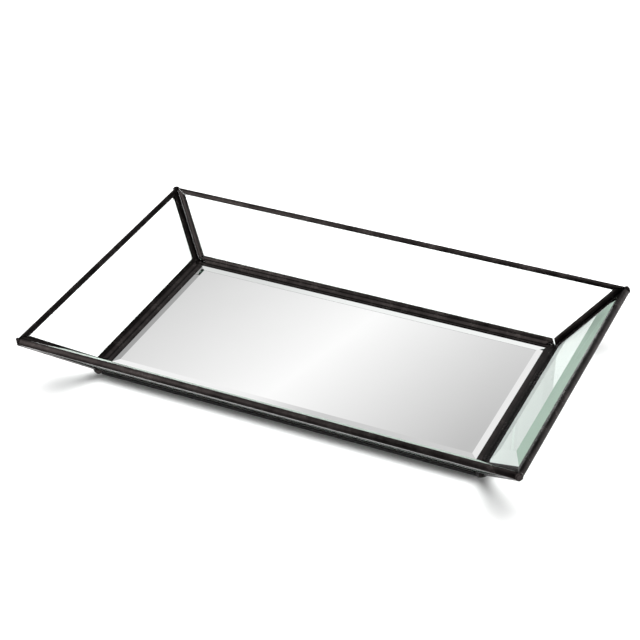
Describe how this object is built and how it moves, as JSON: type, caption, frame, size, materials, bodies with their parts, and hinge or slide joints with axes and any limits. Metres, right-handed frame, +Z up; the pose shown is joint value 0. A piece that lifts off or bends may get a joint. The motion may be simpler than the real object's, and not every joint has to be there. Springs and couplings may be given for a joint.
{
  "type": "vanity tray",
  "caption": "Shallow flared tray for a dresser top: bevelled mirror floor, leaning bevelled clear glass walls, edges bound in dark metal came.",
  "frame": {"origin": "on the resting plane, under the centre of the tray", "axes": "+X along the long side, to the right; +Y to the back; +Z up"},
  "size_m": [0.3302, 0.2032, 0.0418],
  "materials": {
    "came": "dark bronze patina, satin, worn lighter on the folded edges",
    "solder": "tin solder under the same dark patina, slightly lumpy",
    "clear_glass": "polished clear float glass with a wide polished bevel",
    "mirror": "silvered float glass with a narrow polished bevel",
    "felt": "black felt",
    "board": "grey chipboard card",
    "rubber": "matte moulded rubber"
  },
  "bodies": {
    "root": {"back_bottom_came": "came", "back_rim_came": "came", "back_seam_came_left": "came", "back_seam_came_right": "came", "backing_board": "board", "base_came_back": "came", "base_came_front": "came", "base_came_left": "came", "base_came_right": "came", "base_mirror": "mirror", "bumper_foot_back_left": "rubber", "bumper_foot_back_right": "rubber", "bumper_foot_front_left": "rubber", "bumper_foot_front_right": "rubber", "felt_cover": "felt", "floor_solder_back_left": "solder", "floor_solder_back_right": "solder", "floor_solder_front_left": "solder", "floor_solder_front_right": "solder", "front_bottom_came": "came", "front_rim_came": "came", "front_seam_came_left": "came", "front_seam_came_right": "came", "groove_solder_back": "solder", "groove_solder_front": "solder", "groove_solder_left": "solder", "groove_solder_right": "solder", "inside_solder_back": "solder", "inside_solder_front": "solder", "inside_solder_left": "solder", "inside_solder_right": "solder", "left_bottom_came": "came", "left_rim_came": "came", "left_seam_came_back": "came", "left_seam_came_front": "came", "right_bottom_came": "came", "right_rim_came": "came", "right_seam_came_back": "came", "right_seam_came_front": "came", "seam_solder_back_left": "solder", "seam_solder_back_right": "solder", "seam_solder_front_left": "solder", "seam_solder_front_right": "solder", "side_glass_back": "clear_glass", "side_glass_front": "clear_glass", "side_glass_left": "clear_glass", "side_glass_right": "clear_glass"}
  },
  "joints": []
}
